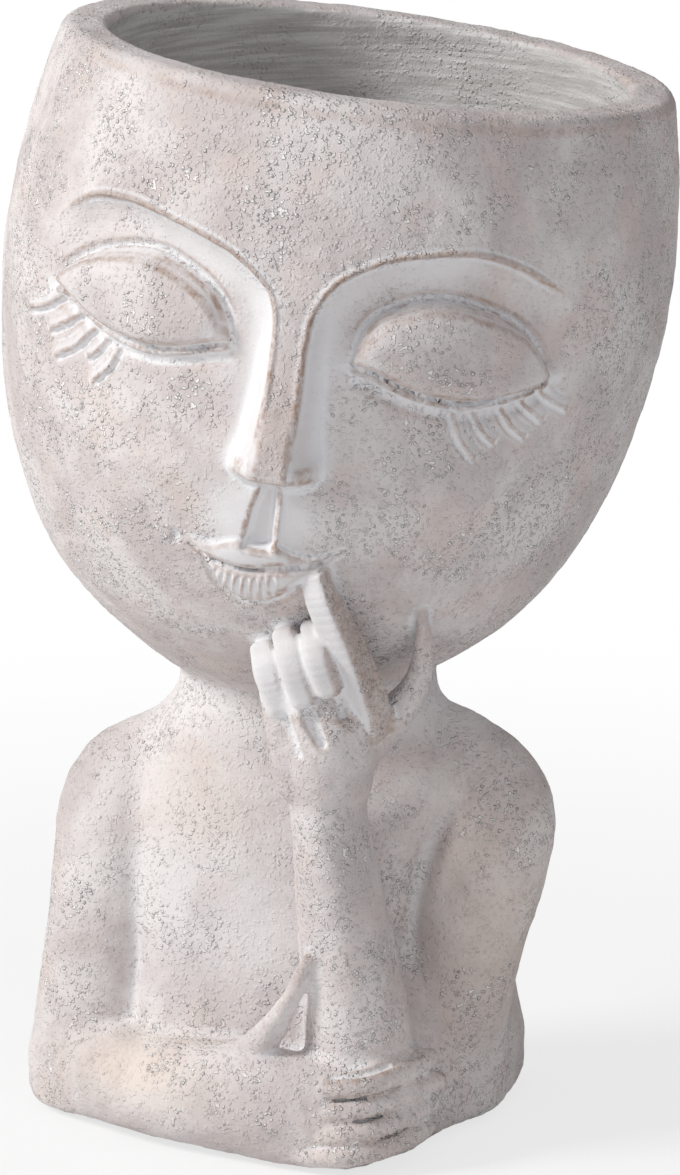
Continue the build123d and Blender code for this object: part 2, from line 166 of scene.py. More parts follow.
# Grooves between the folded fingers: how far out, how far up the pitch, and radius
GROOVE_OUT = 0.9
GROOVE_RISE = 0.52
GROOVE_RADIUS = 0.85
# Run of a folded finger: x, y, rise and share of its radius
FOLDED_FINGER = (
    (-1.5, -39.8, -2.4, 0.6), (5, -41.9, -1.4, 1), (11, -41, -0.6, 1.05), (16, -36.4, 0, 1),
    (20.6, -29, 0.5, 0.95), (22, -25.6, 0.6, 0.7),
)
# How much further each finger reaches, from the top one down
FINGER_ENDS = (0.2, 1.0, 0.45, 0.0)
FINGER_STRETCH = 0.10
# Level ovals, as the bust's
UPRIGHT_FOREARM = (
    (2, 8.9, -25, 11.6, 12), (14, 8.9, -25.5, 11.4, 12.6), (26, 8.2, -26.4, 11, 13.4),
    (42.5, 6.4, -28.9, 9.9, 13.2), (58, 4.6, -31, 8.7, 12.8), (70, 3.4, -33, 7.7, 12),
    (79.5, 2.8, -34.8, 7.9, 11.2), (88, 2.8, -36.4, 9, 10.6), (96, 2.6, -37, 10, 9.6),
)
# The raised hand: limbs by x, y, z and radius
PALM = (
    (4.4, -37, 84, 7.6), (3.6, -37.6, 90, 9), (2.4, -38.4, 97, 9.8), (1.6, -40, 103, 8.6),
)
KNUCKLES = (
    (-6.2, -38, 101, 4), (-3, -40.6, 106, 4.6), (4, -42.4, 108.4, 5), (8.6, -41.2, 105, 5),
)
# Bars with flat faces by x, y, z, half width and half depth, and the way that their faces look
INDEX_FACING = (-0.45, -1, 0.3)
CURLED_FACING = (0, -1, 0.2)
INDEX = (
    (12, -38.6, 96, 3.6, 4.2), (11.2, -42.8, 102.4, 3.6, 4), (9.6, -47.2, 109.4, 3.5, 3.8),
    (7.2, -51, 117, 3.3, 3.4), (4.8, -54, 123.8, 3, 2.8), (3.4, -55.2, 128.2, 2.6, 2),
)
CURLED_FINGERS = (
    ((-8.6, -44.6, 110.4, 2.6, 2.4), (-7.4, -45.6, 106, 2.9, 2.6), (-5.4, -44.6, 100.4, 2.7, 2.3)),
    ((-3.5, -48.4, 114.4, 2.6, 2.5), (-2, -49.4, 109.4, 3, 2.7), (-0.2, -48, 103, 2.8, 2.4)),
    ((2.2, -50.4, 116.6, 2.4, 2.4), (3.4, -51.2, 111.6, 2.8, 2.7), (5.1, -49.6, 105.6, 2.7, 2.4)),
)
# Limbs by x, y, z and radius, added or, in the gouges and hollows, cut out
KNUCKLE_BACKS = (
    ((-6.9, -45, 108.8, 2.7), (-6.4, -39, 107.4, 3.6), (-5, -33, 102, 4)),
    ((-1.9, -48.8, 112.6, 2.8), (-1.6, -42, 111, 3.8), (-1, -34, 105, 4)),
    ((3.3, -50.4, 114.4, 2.7), (3.6, -44, 112.4, 3.6), (4, -36, 106, 4)),
)
GOUGES = (
    ((-5.2, -46.6, 99, 1.3), (-4, -46.8, 95, 1.9), (-1.6, -46.8, 90.4, 1.1)),
    ((0.4, -48.6, 101.2, 1.1), (1.6, -48, 97.2, 1.6), (3.6, -47.2, 92.8, 0.9)),
    ((6.6, -48, 103, 0.7), (7.4, -46.6, 99.2, 1), (8.2, -45.2, 96, 0.6)),
)
HAND_EDGE = (
    (-7.6, -43.4, 101.4, 2), (-7, -42.6, 96, 1.9), (-5.2, -42.2, 89, 2.4), (-3.2, -41, 82, 3),
)
THUMB = (
    (22.4, -39.4, 118.4, 0.9), (22.6, -38, 114.6, 1.6), (22.4, -36.2, 109, 2.2), (21, -34.4, 103, 2.7),
    (17.2, -33.4, 97, 3.6), (11, -33.2, 91, 5),
)
THUMB_HOLLOWS = (
    ((20.6, -44.6, 118, 0.9), (19.6, -43.8, 113.6, 1), (18.8, -42.4, 109, 0.7)),
    ((17.4, -43.4, 106.4, 0.7), (16.4, -42.8, 102.6, 1.5), (15.6, -42, 99, 0.6)),
)

# The face, unrolled: turn about the axis in degrees and depth in millimetres
FACE_LIMITS = (-72.0, 72.0, 8.0, 116.0)
FACE_CELL = 0.2
BROWS = (
    ((-56, 44), (-50.5, 34), (-43.5, 27), (-35.3, 24.8), (-28, 25.2), (-16.8, 27.9), (-10.3, 30.8),
     (-5.4, 34.8), (-3, 39.5), (-2.2, 46.3), (-1.9, 54.6), (-2.2, 62), (-3, 68)),
    ((57, 43), (50, 34.5), (43.1, 30), (38.7, 27.6), (32.7, 25.5), (27, 24.9), (19.9, 25.9),
     (13.4, 27.9), (7.1, 32.1), (3.6, 38.5), (2.9, 45), (3.1, 52.7), (3.3, 61.1), (3.4, 67.4)),
)
LID_TOPS = (
    ((-48.6, 46.8), (-46.7, 42.2), (-39.6, 37), (-28.7, 34.1), (-21, 35.8), (-15.6, 38.9), (-12.1, 43.2),
     (-10.3, 47.6)),
    ((11, 48.6), (12.5, 42.6), (15.6, 38.6), (21.4, 35.9), (26.9, 35.3), (32.7, 36.6), (39.1, 39),
     (43.8, 42.6), (47.8, 49.4)),
)
LID_ENDS = (
    ((-48.6, 46), (-46.2, 46.4), (-42.1, 48.9), (-38, 51.1), (-33, 52.3), (-26.4, 52.9), (-19.5, 51.6),
     (-14.1, 49.7), (-9.8, 48.4)),
    ((10.6, 49.4), (15.2, 50.6), (19.7, 52.6), (25.3, 54.5), (31.8, 55.5), (38.4, 54.7), (44.2, 52.8),
     (48.4, 49.8)),
)
LASHES = (
    ((-47, 48.1), (-50, 51.2), (-56.4, 53.9)), ((-42.8, 50.7), (-45.6, 53.6), (-49.9, 56.5)),
    ((-39.5, 52.9), (-42.6, 57.4), (-48.4, 61.6)), ((-36.3, 54), (-37.4, 56.8), (-40.5, 59.6)),
    ((-33.1, 55), (-33.9, 58.8), (-38.5, 64.4)),
    ((30.7, 57.5), (32.5, 62.6), (36.8, 67.8)), ((34.8, 57.3), (37, 61.4), (40.3, 64.3)),
    ((40.1, 56.3), (42.5, 60.2), (46.3, 63.2)), ((43.6, 55), (45.9, 57.2), (49, 59.6)),
    ((46.4, 52.4), (49.3, 55.1), (54, 57.4)),
)
# By turn, depth and half width
PHILTRUM = ((0.3, 73.6, 1.4), (0.2, 76.2, 2.2), (-0.3, 81.0, 3.0), (-0.6, 87.8, 3.6))
LIP_TOP = (
    (-16.2, 89.6), (-12.7, 89.9), (-9.2, 89.7), (-6.2, 88.4), (-3.7, 87.8), (-0.3, 88.5), (2.5, 87.6),
    (5.5, 89), (9.2, 89.8), (12.4, 89.2), (15.6, 87.6),
)
LIP_LINE = (
    (-16.2, 89.6), (-13, 91.4), (-10.3, 93), (-6, 93.8), (-1.4, 93.9), (3, 92.7), (8, 91.8), (11.5, 90.8),
    (15.6, 88),
)
LIP_FOOT = (
    (-11.4, 92.6), (-9.7, 96), (-7.6, 99), (-3.2, 101.4), (1.5, 101.2), (4.9, 99.4), (7.8, 96.4),
    (12, 91.6),
)
NOSE_TURN = 0.6
# By depth: how far the nose stands out, half its width and half the width of its ridge
NOSE_RISE = (
    (34, 0), (42, 0.6), (50, 2.6), (58, 5.2), (65, 7.8), (70, 9.6), (72.5, 9.4), (74.6, 3), (76, 0),
)
NOSE_WIDTH = ((34, 6.4), (42, 6.8), (50, 7.4), (58, 8.0), (65, 8.8), (70, 9.8), (73, 10.2), (76, 8.0))
NOSE_RIDGE = ((34, 2.6), (50, 2.5), (62, 2.1), (70, 2.3), (74, 2.6))
MOUTH_TURN = -0.4
# Height and softness of each swelling
UPPER_LIP = (2.2, 1.7)
LOWER_LIP = (3.4, 2.7)
LID = (5.3, 5.2)
SOCKET_DEPTH = 4.4
SOCKET_SLOPE = 6.5
LASH_HEIGHT = 1.05
LASH_WIDTH = 2.6
CREASE_PITCH = 1.75

# A felt pad's rim: shares of its radius and thickness
PAD_PROFILE = (
    (0, 0), (0.5, 0), (0.9, 0), (0.975, 0.06), (0.995, 0.22), (0.99, 0.5), (0.995, 0.78), (0.975, 0.94),
    (0.9, 1), (0.5, 1), (0, 1),
)
PAD_WELD = 0.0035

# Finishes
SHELL_DARK = (0.58, 0.525, 0.515)
SHELL_PALE = (0.74, 0.70, 0.69)
BLUSH = (0.66, 0.555, 0.515)
# Also used as painted highlight on the fingers' faces towards the lamp
TROWELLED_WASH_AND_HIGHLIGHT = (0.84, 0.845, 0.865)
POOLED_WASH = (0.84, 0.85, 0.87)
WARM_WASH = (0.80, 0.66, 0.54)
PIT_SHADE = (0.46, 0.42, 0.40)
GRAIN_WASH = (0.90, 0.89, 0.88)
# Brown of rubbed edges, also used as painted shade on the nose, lips and index finger
BROWN_WEAR_AND_SHADE = (0.36, 0.225, 0.155)
BOWL_DARK = (0.54, 0.52, 0.51)
BOWL_PALE = (0.76, 0.75, 0.74)


def smooth_min(first, second, softness):
    """The nearer of two fields, run together over a softness."""
    share = np.clip(0.5 + 0.5 * (second - first) / softness, 0, 1)
    return second + (first - second) * share - softness * share * (1 - share)


def smooth_max(first, second, softness):
    """The further of two fields, run together over a softness."""
    return -smooth_min(-first, -second, softness)


def ease(value):
    """0 to 1 with a soft start and end."""
    value = np.clip(value, 0, 1)
    return value * value * (3 - 2 * value)


def bump(distance, half_width):
    """A rounded ridge of height 1 about a line."""
    return ease(1 - np.abs(distance) / half_width)


def blot(*ways):
    """A soft spot, by place, middle and width along each way."""
    return np.exp(-sum(((place - middle) / width) ** 2 for place, middle, width in ways))


def lift(sheet, values, area=...):
    """A sheet brought up to values where they are higher."""
    sheet[area] = np.maximum(sheet[area], values)


def through(rows, steps=4):
    """Rows of numbers made into a smooth run."""
    rows = np.array(rows, float)
    rows = np.vstack((2 * rows[0] - rows[1], rows, 2 * rows[-1] - rows[-2]))
    share = np.arange(steps)[:, None] / steps
    pieces = []
    for a, b, c, d in zip(rows, rows[1:], rows[2:], rows[3:]):
        bend = 2 * a - 5 * b + 4 * c - d + share * (3 * (b - c) + d - a)
        pieces.append(b + share / 2 * (c - a + share * bend))
    return np.vstack(pieces + [rows[-2:-1]])


def noise(points, size, seed):
    """Smooth random values from -1 to 1, one step to a size."""
    side = 32
    table = np.random.RandomState(seed).uniform(-1, 1, (side, side, side)).astype(np.float32)
    place = np.asarray(points) / size
    cell = np.floor(place).astype(int)
    share = ease(place - cell)
    total = 0
    for corner in np.ndindex(2, 2, 2):
        index = (cell + corner) % side
        weight = np.prod(np.where(corner, share, 1 - share), axis=1)
        total = total + weight * table[index[:, 0], index[:, 1], index[:, 2]]
    return total


def in_parts(field, points):
    """A field worked out for many points, a part of them at a time."""
    parts = np.array_split(points, max(1, len(points) // POINTS_AT_ONCE))
    return np.concatenate([field(part) for part in parts])


def between_cells(sheet, u, v):
    """The value of a sheet at places counted in its cells."""
    u = np.clip(u, 0, sheet.shape[0] - 1.001)
    v = np.clip(v, 0, sheet.shape[1] - 1.001)
    i, j = u.astype(int), v.astype(int)
    u, v = u - i, v - j
    near_row = sheet[i, j] * (1 - v) + sheet[i, j + 1] * v
    far_row = sheet[i + 1, j] * (1 - v) + sheet[i + 1, j + 1] * v
    return near_row * (1 - u) + far_row * u


def near(points, middles, sizes):
    """Numbers of the points within reach of a chain of balls."""
    low = (middles - sizes[:, None]).min(0) - REACH
    high = (middles + sizes[:, None]).max(0) + REACH
    chosen = np.ones(len(points), bool)
    for axis in range(3):
        chosen &= (points[:, axis] > low[axis]) & (points[:, axis] < high[axis])
    return np.flatnonzero(chosen)


def dot(rows, direction):
    """Rows of x, y, z measured along a direction."""
    return rows[0] * direction[0] + rows[1] * direction[1] + rows[2] * direction[2]


def limb(points, rows):
    """Distance to a round limb through rows of x, y, z and radius."""
    run = through(rows)
    middles, radii = run[:, :3], run[:, 3]
    chosen = near(points, middles, radii)
    result = np.full(len(points), REACH)
    if len(chosen) == 0:
        return result
    close = np.ascontiguousarray(points[chosen].T)
    nearest = np.full(len(chosen), REACH)
    for a, b, radius_a, radius_b in zip(middles, middles[1:], radii, radii[1:]):
        step = b - a
        rest = close - a[:, None]
        share = np.clip(dot(rest, step) / (step ** 2).sum(), 0, 1)
        rest -= share * step[:, None]
        gap = np.sqrt(dot(rest, rest)) - radius_a - (radius_b - radius_a) * share
        np.minimum(nearest, gap, out=nearest)
    result[chosen] = nearest
    return result


def bar(points, rows, outward, squareness=4.0):
    """Distance to a bar with flat faces through rows of x, y, z, half width and half depth."""
    run = through(rows)
    middles, widths, depths = run[:, :3], run[:, 3], run[:, 4]
    chosen = near(points, middles, np.maximum(widths, depths))
    result = np.full(len(points), REACH)
    if len(chosen) == 0:
        return result
    close = np.ascontiguousarray(points[chosen].T)
    nearest = np.full(len(chosen), REACH)
    for a, b, w0, w1, d0, d1 in zip(middles, middles[1:], widths, widths[1:], depths, depths[1:]):
        step = b - a
        length = np.sqrt((step ** 2).sum())
        along = step / length
        out = np.array(outward) - along * (outward * along).sum()
        out /= np.sqrt((out ** 2).sum())
        side = np.cross(along, out)
        rest = close - a[:, None]
        share = np.clip(dot(rest, along) / length, 0, 1)
        rest -= share * step[:, None]
        width, depth = w0 + (w1 - w0) * share, d0 + (d1 - d0) * share
        ways = ((side, width), (out, depth), (along, depth))
        size = sum((np.abs(dot(rest, way)) / half) ** squareness for way, half in ways) ** (1 / squareness)
        np.minimum(nearest, (size - 1) * np.minimum(width, depth), out=nearest)
    result[chosen] = nearest
    return result


def joined(points, form, limbs):
    """A form with limbs run into it, each over its own softness."""
    for rows, softness in limbs:
        form = smooth_min(form, limb(points, rows), softness)
    return form


def stack(points, rows, squareness=2.0):
    """Distance to an upright form of level ovals, squarer where the squareness is above 2."""
    run = through(rows)
    x, y, z = points.T
    middle_x, middle_y, width, depth = (np.interp(z, run[:, 0], run[:, column]) for column in (1, 2, 3, 4))
    u, v = np.abs(x - middle_x) / width, np.abs(y - middle_y) / depth
    size = np.maximum((u ** squareness + v ** squareness) ** (1 / squareness), 1e-6)
    slant = np.hypot((u / size) ** (squareness - 1) / width, (v / size) ** (squareness - 1) / depth)
    side = (size - 1) / slant
    return np.maximum(side, np.maximum(run[0, 0] - z, z - run[-1, 0]))


def outline_distance(u, v, corners):
    """Signed distance to a closed outline of straight sides, negative inside."""
    corners = np.array(corners, float)
    nearest = np.full(len(u), np.inf)
    inside = np.zeros(len(u), bool)
    for (u0, v0), (u1, v1) in zip(corners, np.roll(corners, -1, axis=0)):
        du, dv = u1 - u0, v1 - v0
        share = np.clip(((u - u0) * du + (v - v0) * dv) / max(du * du + dv * dv, 1e-9), 0, 1)
        nearest = np.minimum(nearest, np.hypot(u - u0 - share * du, v - v0 - share * dv))
        crosses = (v0 <= v) != (v1 <= v)
        with np.errstate(divide="ignore", invalid="ignore"):
            inside ^= crosses & (u < u0 + (v - v0) * du / dv)
    return np.where(inside, -nearest, nearest)


def line_distance(u, v, rows):
    """Distance to an open line and the share of its length at the nearest point."""
    nearest = np.full(u.shape, np.inf)
    where = np.zeros(u.shape)
    last = len(rows) - 1
    for index, (a, b) in enumerate(zip(rows, rows[1:])):
        step = b - a
        share = np.clip(((u - a[0]) * step[0] + (v - a[1]) * step[1]) / (step ** 2).sum(), 0, 1)
        gap = np.hypot(u - a[0] - share * step[0], v - a[1] - share * step[1])
        closer = gap < nearest
        nearest = np.where(closer, gap, nearest)
        where = np.where(closer, (index + share) / last, where)
    return nearest, where


def unrolled(rows):
    """Turns in degrees made into arcs on the skin, as a smooth run."""
    rows = np.array(rows, float)
    rows[:, 0] = np.radians(rows[:, 0]) * SKIN
    return through(rows, 5)


class Face:
    """The face's relief, its smooth places, its rubbed edges and the shade painted on the nose's front and
    along the lips, on a flat sheet of arc and depth.
    """

    def __init__(self):
        turn_low, turn_high, self.v0, v1 = FACE_LIMITS
        self.u0, u1 = radians(turn_low) * SKIN, radians(turn_high) * SKIN
        self.u, self.v = np.meshgrid(
            np.arange(self.u0, u1, FACE_CELL), np.arange(self.v0, v1, FACE_CELL), indexing="ij"
        )
        self.height = np.zeros(self.u.shape)
        self.smooth = np.zeros(self.u.shape)
        self.edge_wear_and_shade = np.zeros(self.u.shape)
        self.sockets()
        self.nose()
        self.mouth()
        self.lids()
        self.lashes()
        edge = np.minimum.reduce((self.u - self.u0, u1 - self.u, self.v - self.v0, v1 - self.v))
        self.height *= ease(edge / 4)
        self.busy = self.busy_places()

    def busy_places(self):
        """Where the relief changes fast enough to need a finer mesh."""
        across, down = np.gradient(self.height, FACE_CELL)
        busy = (np.hypot(across, down) > 0.30).astype(float)
        reach = 5
        for axis in (0, 1):
            busy = np.maximum.reduce([np.roll(busy, step, axis) for step in range(-reach, reach + 1)])
        return busy

    def patch(self, rows, margin):
        """The part of the sheet within a margin of a run."""
        low, high = rows.min(0) - margin, rows.max(0) + margin
        start_u, end_u = (int(max(0, (value - self.u0) / FACE_CELL)) for value in (low[0], high[0]))
        start_v, end_v = (int(max(0, (value - self.v0) / FACE_CELL)) for value in (low[1], high[1]))
        return slice(start_u, end_u + 1), slice(start_v, end_v + 1)

    def beside(self, rows, margin):
        """A smooth line, the part of the sheet near it, and how far off and along the line that is."""
        run = unrolled(rows)
        area = self.patch(run, margin)
        return run, area, *line_distance(self.u[area], self.v[area], run)

    def sockets(self):
        """Scoops under the brows, with a crisp upper edge that runs on down the nose."""
        for side, brow in zip((-1, 1), BROWS):
            run, area, gap, _ = self.beside(brow, 26)
            u, v = self.u[area], self.v[area]
            below = np.vstack((run, (run[-1, 0], 84), (run[0, 0] + side * 4, 84)))
            inside = outline_distance(u.ravel(), v.ravel(), below).reshape(u.shape) < 0
            scoop = 1 - (1 - np.clip(gap / SOCKET_SLOPE, 0, 1)) ** 2
            fade = ease((80 - v) / 34) * ease((66 - np.abs(u)) / 22)
            self.height[area] += np.where(inside, -SOCKET_DEPTH * scoop * fade, 0)
            inner = ease((44 - np.abs(u)) / 16) * ease((72 - v) / 16)
            trowelled = 0.8 * inside * ease(gap / 2) * ease((13 - gap) / 9) * inner
            lift(self.smooth, trowelled, area)
            crest = bump(gap, 1.1) * ease((58 - np.abs(u)) / 10) * ease((66 - v) / 8)
            self.height[area] += 0.5 * crest
            lift(self.edge_wear_and_shade, crest * inside, area)

    def nose(self):
        """A slim ridge that rises to the tip, with two small wings."""
        u, v = self.u, self.v
        middle = radians(NOSE_TURN) * SKIN
        rise, width, top = (np.interp(v, *np.transpose(rows)) for rows in (NOSE_RISE, NOSE_WIDTH, NOSE_RIDGE))
        across = np.clip((width - np.abs(u - middle)) / (width - top), 0, 1)
        self.height += rise * (0.35 * across + 0.65 * ease(across))
        for side in (-1, 1):
            wing = blot((u - middle, side * 6.6, 2.9), (v, 70.8, 2.6))
            self.height += 2.3 * wing * ease((75.4 - v) / 1.8)
        beside = np.abs(u - middle)
        flank = ease((beside - top) / 1.2) * ease((width + 4 - beside) / 4)
        lift(self.smooth, 0.9 * flank * ease((76 - v) / 5) * ease((v - 38) / 12))
        # Painted shade: the nose's front is marked for the rubbed brown, standing in for the shade that falls
        # on it
        front = ease((top + 1.5 - beside) / 1.5) * ease((v - 40) / 12) * ease((72 - v) / 2)
        lift(self.edge_wear_and_shade, 0.34 * front)

    def mouth(self):
        """A gentle muzzle, the groove under the nose, and two lips."""
        u, v = self.u, self.v
        middle = radians(MOUTH_TURN) * SKIN
        self.height += 2.4 * blot((u, middle, 15), (v, 90, 13))
        lift(self.smooth, ease(1.6 - np.hypot((u - middle) / 11, (v - 83) / 9)))
        groove = np.array(PHILTRUM, float)
        centre = np.radians(np.interp(v, groove[:, 1], groove[:, 0])) * SKIN
        half = np.interp(v, groove[:, 1], groove[:, 2])
        along = ease((v - 73.4) / 1.2) * ease((89.6 - v) / 1.2)
        across = np.clip((half - np.abs(u - centre)) / 1.1, 0, 1)
        self.height -= 2.3 * along * ease(across)
        self.height += 0.45 * bump(u - centre - half - 0.4, 0.9) * along
        lift(self.smooth, along * (across > 0))
        self.pillow(LIP_TOP, LIP_LINE, *UPPER_LIP)
        self.pillow(LIP_LINE, LIP_FOOT, *LOWER_LIP, creases=True)
        line, share = line_distance(u, v, unrolled(LIP_LINE))
        self.height -= 1.1 * bump(line, 0.9) * ease(share * 10) * ease((1 - share) * 10)
        foot, share = line_distance(u, v, unrolled(LIP_FOOT))
        self.height -= 0.9 * bump(foot, 2.2) * ease(share * 8) * ease((1 - share) * 8)
        # Painted shade: brown in the crease under the lower lip and along the lip line, where shade falls
        lift(self.edge_wear_and_shade, 0.9 * bump(foot + 0.4, 1.4) * ease((4 - u) / 4))
        lift(self.edge_wear_and_shade, 0.6 * bump(line, 0.8))
        corner = np.hypot(u + radians(17.4) * SKIN, v - 90.4)
        self.height -= 0.9 * ease(1 - corner / 2.2)

    def pillow(self, top, bottom, height, softness, creases=False):
        """A swelling between two lines, with upright creases on its left where asked."""
        top, bottom = unrolled(top), unrolled(bottom)
        outline = np.vstack((top, bottom[::-1]))
        area = self.patch(outline, 2)
        u, v = self.u[area], self.v[area]
        inside = outline_distance(u.ravel(), v.ravel(), outline).reshape(u.shape) < 0
        above, _ = line_distance(u, v, top)
        under, _ = line_distance(u, v, bottom)
        depth = above * under / np.maximum(above + under, 1e-6)
        swell = np.sqrt(np.clip(1 - (1 - np.clip(depth / softness, 0, 1)) ** 2, 0, 1))
        if creases:
            fan = u * (1 - 0.035 * (v - 94))
            lines = 0.5 + 0.5 * np.cos(2 * pi * fan / CREASE_PITCH)
            lines *= ease((above - 0.4) / 1.2) * ease((u + 13) / 2) * ease((5.4 - u) / 1.5)
            swell = swell * (1 - 0.17 * lines)
        self.height[area] += np.where(inside, height * swell, 0)
        self.smooth[area] = np.where(inside, 1, self.smooth[area])
        return area, inside, depth

    def lids(self):
        """Closed lids, the fold above each and the thin rim below."""
        for top, bottom in zip(LID_TOPS, LID_ENDS):
            area, inside, depth = self.pillow(top, bottom, *LID)
            self.smooth[area] = np.where(inside, 0.8 * (1 - ease((depth - 0.4) / 2.6)), self.smooth[area])
            _, area, gap, share = self.beside(top, 4)
            self.height[area] -= 1.0 * bump(gap - 0.6, 1.6) * ease(share * 5) * ease((1 - share) * 5)
            run, area, gap, share = self.beside(bottom, 8)
            order = np.argsort(run[:, 0])
            below = self.v[area] - np.interp(self.u[area], run[order, 0], run[order, 1])
            ends = ease(share * 16) * ease((1 - share) * 16)
            self.height[area] -= 1.1 * bump(below + 0.15, 0.75) * ends * (gap < 2)
            self.height[area] += 1.5 * bump(below - 1.0, 0.95) * ends * (gap < 3)
            self.height[area] -= 0.7 * bump(below - 3.2, 2.0) * ends * (gap < 6)
            lift(self.smooth, bump(below - 0.8, 2.2) * (gap < 3), area)

    def lashes(self):
        """Ten thin lobes, steep on the side towards the nose."""
        for rows in LASHES:
            run, area, gap, share = self.beside(rows, 4)
            outward = np.array((np.sign(run[0, 0]) * 0.3, 0))
            shifted, _ = line_distance(self.u[area], self.v[area], run + outward)
            across = np.where(shifted < gap, gap, -gap)
            ends = ease((1 - share) * 6) * ease(share * 9 + 0.2)
            edge = np.where(across < 0, ease(1 + across / 0.45), np.clip(1 - across / LASH_WIDTH, 0, 1))
            self.height[area] += LASH_HEIGHT * edge * ends
            self.height[area] -= 0.45 * bump(across + 0.85, 0.6) * ends
            lift(self.smooth, 0.8 * ease(1.5 - gap / 2) * ends, area)

    def read(self, sheet, turn, depth):
        """The value of a sheet at turns in radians and depths."""
        return between_cells(sheet, (turn * SKIN - self.u0) / FACE_CELL, (depth - self.v0) / FACE_CELL)


class Egg:
    """Distance to the head's turned skin, read from a sheet of radius and depth."""

    cell = 0.5
    radius_end = 92.0
    depths = (-24.0, 156.0)

    def __init__(self):
        run = through(PROFILE, 8)
        radius, depth = np.meshgrid(
            np.arange(0, self.radius_end, self.cell), np.arange(*self.depths, self.cell), indexing="ij"
        )
        gap, _ = line_distance(radius, depth, run[:, ::-1])
        skin = np.interp(depth, run[:, 0], run[:, 1], right=-1)
        self.sheet = np.where(radius < skin, -gap, gap)

    def distance(self, radius, depth):
        """Signed distance, negative inside."""
        return between_cells(self.sheet, radius / self.cell, (depth - self.depths[0]) / self.cell)


face = Face()
egg = Egg()


def head_place(points):
    """Radius, turn in radians and depth of points about the head's axis."""
    rest = points.T - RIM_MIDDLE[:, None]
    depth = -dot(rest, HEAD_UP)
    across = dot(rest, HEAD_SIDE) + DRIFT * np.clip(depth, 0, DRIFT_END)
    return np.hypot(across, rest[1]), np.arctan2(across, -rest[1]), depth


def bust_form(points):
    """Neck, shoulders, upper arms and foot."""
    x, y, z = points.T
    form = stack(points, TORSO, 2.0 + 0.9 * ease((86 - z) / 22))
    form = joined(points, form, ((RIGHT_ARM, ARM_BLEND), (LEFT_ARM, ARM_BLEND)))
    elbow = smooth_max(outline_distance(x, y, ELBOW), z - ELBOW_HEIGHT, ELBOW_SOFTNESS)
    form = smooth_min(form, elbow, ELBOW_BLEND)
    foot = smooth_max(outline_distance(x, y, FOOT_OUTLINE), z - FOOT_HEIGHT, FOOT_SOFTNESS)
    return smooth_min(form, foot, FOOT_BLEND)


def folded_arm(points):
    """Forearm on the foot, its raised thumb and the hand with four fingers."""
    form = smooth_min(limb(points, FOREARM), limb(points, WEB), 4.0)
    hand = smooth_max(limb(points, HAND_TOP), points[:, 2] - LEDGE, 1.5)
    form = smooth_min(form, hand, 2.0)
    form = smooth_max(form, -limb(points, WEB_HOLLOW), 3.6)
    for number, ending in enumerate(FINGER_ENDS):
        level = FINGER_TOP - FINGER_PITCH * number
        rows = [(x, y, level + rise, FINGER_RADIUS * share) for x, y, rise, share in FOLDED_FINGER]
        tip_x, *tip = rows[-1]
        rows[-1] = (tip_x * (1 + FINGER_STRETCH * ending), *tip)
        form = smooth_min(form, limb(points, rows), 0.6)
        groove = [
            (x, y - GROOVE_OUT, level + rise + FINGER_PITCH * GROOVE_RISE, GROOVE_RADIUS * share)
            for x, y, rise, share in FOLDED_FINGER[1:-1]
        ]
        form = smooth_max(form, -limb(points, groove), 0.8)
    return form


def raised_arm(points):
    """Upright forearm, fist and thumb."""
    limbs = [(PALM, 4.0), (KNUCKLES, 3.0), (HAND_EDGE, 2.0), (THUMB, 3.0)]
    limbs += [(rows, 1.2) for rows in KNUCKLE_BACKS]
    form = joined(points, stack(points, UPRIGHT_FOREARM), limbs)
    for rows in GOUGES + THUMB_HOLLOWS:
        form = smooth_max(form, -limb(points, rows), 1.2)
    for rows in CURLED_FINGERS:
        form = smooth_min(form, bar(points, rows, CURLED_FACING, 3.0), 1.3)
    return smooth_min(form, bar(points, INDEX, INDEX_FACING), 0.8)


def casting(points):
    """Distance to the whole casting's surface, negative inside the cement."""
    radius, turn, depth = head_place(points)
    skin = egg.distance(radius, depth)
    shell = skin - face.read(face.height, turn, depth)
    above_rim = -depth + (points[:, 1] - RIM_MIDDLE[1]) * sin(RIM_LEAN)
    shell = smooth_max(shell, above_rim, RIM_SOFTNESS)
    lower = points[:, 2] < BUST_TOP
    form = np.full(len(points), REACH * 2)
    low_points = points[lower]
    body = smooth_min(bust_form(low_points), raised_arm(low_points), 3.0)
    body = smooth_min(body, folded_arm(low_points), 2.5)
    form[lower] = body
    form = smooth_min(form, shell, 1.6)
    from_seat = points.T - SEAT[:, None]
    rise = dot(from_seat, PULL_AXIS)
    bowl = smooth_max(skin + WALL, -rise, FLOOR_SOFTNESS)
    form = smooth_max(form, -bowl, RIM_SOFTNESS)
    from_seat -= rise * PULL_AXIS[:, None]
    hole = np.sqrt(dot(from_seat, from_seat)) - DRAIN_RADIUS
    form = np.maximum(form, -np.maximum(hole, depth - HOLE_END))
    middle_x = SEAT[0] - (SEAT[2] - POLE[2]) * PULL_AXIS[0]
    passage = np.hypot(points[:, 0] - middle_x, points[:, 1] - SEAT[1])
    narrow = (PASSAGE_RADIUS - CHANNEL_RADIUS) * (points[:, 2] > SHOULDER)
    passage = np.maximum(passage - PASSAGE_RADIUS + narrow, 1.0 - skin)
    form = smooth_max(form, -passage, PASSAGE_SOFTNESS)
    return smooth_max(form, SOLE - points[:, 2], SOLE_SOFTNESS)


